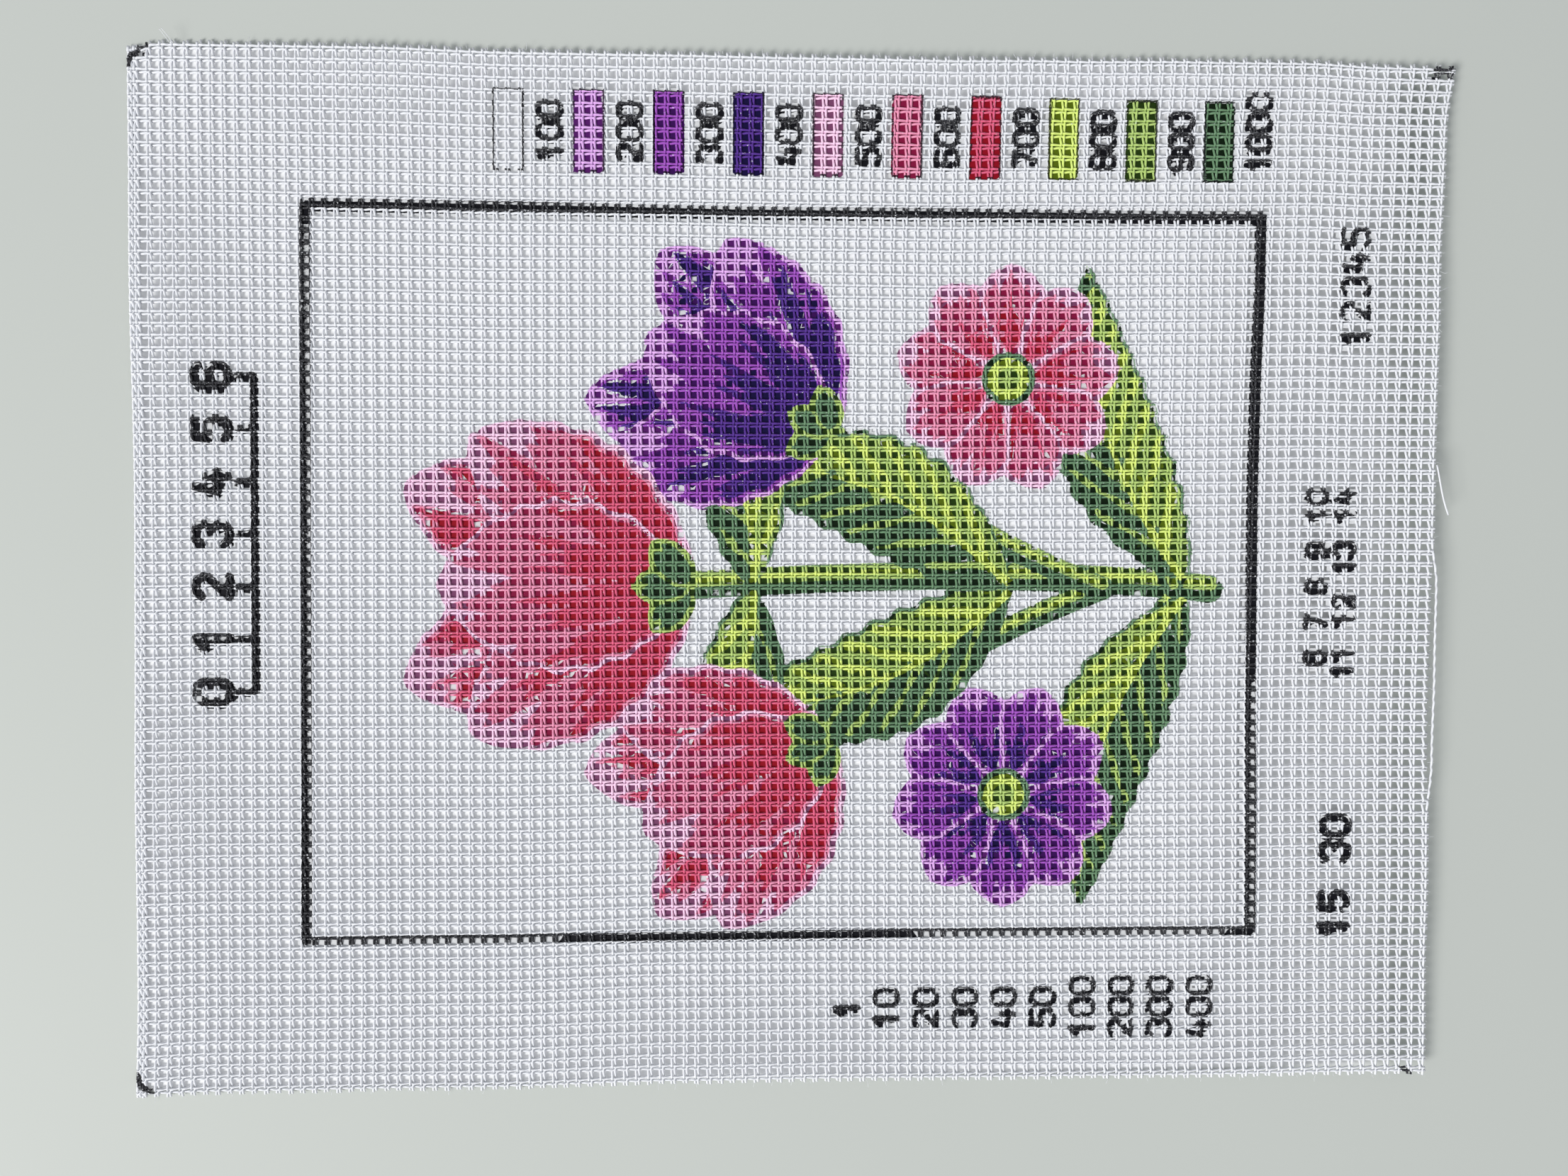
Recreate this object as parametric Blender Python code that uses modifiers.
"""A needlepoint canvas panel: one piece of stiff double-thread cotton canvas, cut off a roll and laid flat.

The long side runs along X, the short side along Y, and the printed side faces +Z. The origin is on the surface
that the sheet lies on, under the middle of its outline. Lengths are in metres.
"""

import bpy

# Size of the cut sheet, corner to corner, and the height of the weave.
SHEET_LENGTH = 0.2526
SHEET_WIDTH = 0.2012
CANVAS_THICKNESS = 0.0011

# The sheet is modelled as a grid of square-ish patches.
PATCHES_LONG = 36
PATCHES_SHORT = 28

# How far the cut edge lies inside the full size, along each side. The scissors wandered a little. The corners stand
# furthest out, so the sheet rests on them and on the inner end of the sprung margin.
# Columns: share of the side, from left to right or from bottom to top; distance inwards.
TOP_CUT = [
    (0.00, 0.0009),
    (0.25, 0.0012),
    (0.50, 0.0009),
    (0.78, 0.0001),
    (0.90, 0.0000),
    (1.00, 0.0005),
]
BOTTOM_CUT = [
    (0.00, 0.0000),
    (0.06, 0.0005),
    (0.26, 0.0009),
    (0.42, 0.0020),
    (0.52, 0.0022),
    (0.66, 0.0019),
    (0.78, 0.0019),
    (1.00, 0.0032),
]
LEFT_CUT = [
    (0.00, 0.0000),
    (0.10, 0.0004),
    (0.60, 0.0007),
    (1.00, 0.0003),
]
RIGHT_CUT = [
    (0.00, 0.0011),
    (0.15, 0.0018),
    (0.38, 0.0025),
    (0.60, 0.0023),
    (0.78, 0.0018),
    (0.92, 0.0008),
    (1.00, 0.0000),
]

# The right margin is sprung off the surface. Columns: share of the side from bottom to top; height of the edge.
RIGHT_LIFT = [
    (0.00, 0.0024),
    (0.22, 0.0033),
    (0.50, 0.0037),
    (0.74, 0.0031),
    (0.92, 0.0019),
    (1.00, 0.0012),
]
RIGHT_LIFT_START = 0.070
LIFT_POWER = 1.4

# The other three edges rise a hair in soft waves. Columns: centre of the wave along the side; half length; height.
TOP_WAVES = [
    (-0.082, 0.030, 0.0007),
    (0.026, 0.032, 0.0005),
]
BOTTOM_WAVES = [
    (-0.010, 0.050, 0.0008),
]
LEFT_WAVES = [
    (0.052, 0.034, 0.0006),
    (-0.040, 0.030, 0.0004),
]
WAVE_REACH = 0.026

CANVAS_COLOUR = (0.83, 0.83, 0.86, 1.0)
CANVAS_ROUGHNESS = 0.9


def clear_scene():
    for thing in list(bpy.data.objects):
        bpy.data.objects.remove(thing, do_unlink=True)


def smooth(share):
    """Eases from 0 to 1, level at both ends."""
    share = min(max(share, 0.0), 1.0)
    return share * share * (3.0 - 2.0 * share)


def read_table(table, share):
    """The value of a two-column table at a share of the side, eased between its rows."""
    for (left, low), (right, high) in zip(table, table[1:]):
        if share <= right:
            return low + (high - low) * smooth((share - left) / (right - left))
    return table[-1][1]


def outline_point(u, v):
    """The place on the sheet for shares u of the length and v of the width, inside the four cut edges."""
    left = -SHEET_LENGTH / 2 + read_table(LEFT_CUT, v)
    right = SHEET_LENGTH / 2 - read_table(RIGHT_CUT, v)
    bottom = -SHEET_WIDTH / 2 + read_table(BOTTOM_CUT, u)
    top = SHEET_WIDTH / 2 - read_table(TOP_CUT, u)
    return left + (right - left) * u, bottom + (top - bottom) * v


def wave_height(waves, along, from_edge):
    """The rise of one edge, from its waves. It fades out over WAVE_REACH inwards."""
    rise = sum(height * smooth(1.0 - abs(along - centre) / half) for centre, half, height in waves)
    return rise * smooth(1.0 - from_edge / WAVE_REACH) if from_edge < WAVE_REACH else 0.0


def underside_height(x, y):
    """How far the underside stands off the surface. Most of the sheet lies at zero."""
    run = SHEET_LENGTH / 2 - RIGHT_LIFT_START
    share = min(max((x - RIGHT_LIFT_START) / run, 0.0), 1.0)
    height = read_table(RIGHT_LIFT, y / SHEET_WIDTH + 0.5) * share ** LIFT_POWER
    height += wave_height(TOP_WAVES, x, SHEET_WIDTH / 2 - y)
    height += wave_height(BOTTOM_WAVES, x, SHEET_WIDTH / 2 + y)
    height += wave_height(LEFT_WAVES, y, SHEET_LENGTH / 2 + x)
    return height


def canvas_material():
    material = bpy.data.materials.new("cotton_canvas")
    material.use_nodes = True
    shader = material.node_tree.nodes["Principled BSDF"]
    shader.inputs["Base Color"].default_value = CANVAS_COLOUR
    shader.inputs["Roughness"].default_value = CANVAS_ROUGHNESS
    shader.inputs["Metallic"].default_value = 0.0
    return material


def build_canvas(collection):
    """The sheet: a flat grid pushed out to its cut outline and its rises, then given its thickness upwards."""
    bpy.ops.mesh.primitive_grid_add(x_subdivisions=PATCHES_LONG, y_subdivisions=PATCHES_SHORT, size=1.0)
    canvas = bpy.context.object
    canvas.name = "canvas"
    canvas.data.name = "canvas"
    for corner in canvas.data.vertices:
        x, y = outline_point(corner.co.x + 0.5, corner.co.y + 0.5)
        corner.co = (x, y, underside_height(x, y))
    body = canvas.modifiers.new("thickness", "SOLIDIFY")
    body.thickness = CANVAS_THICKNESS
    body.offset = 1.0
    canvas.data.materials.append(canvas_material())
    for holder in list(canvas.users_collection):
        holder.objects.unlink(canvas)
    collection.objects.link(canvas)


def main():
    clear_scene()
    collection = bpy.data.collections.new("needlepoint_canvas_panel")
    bpy.context.scene.collection.children.link(collection)
    build_canvas(collection)


main()
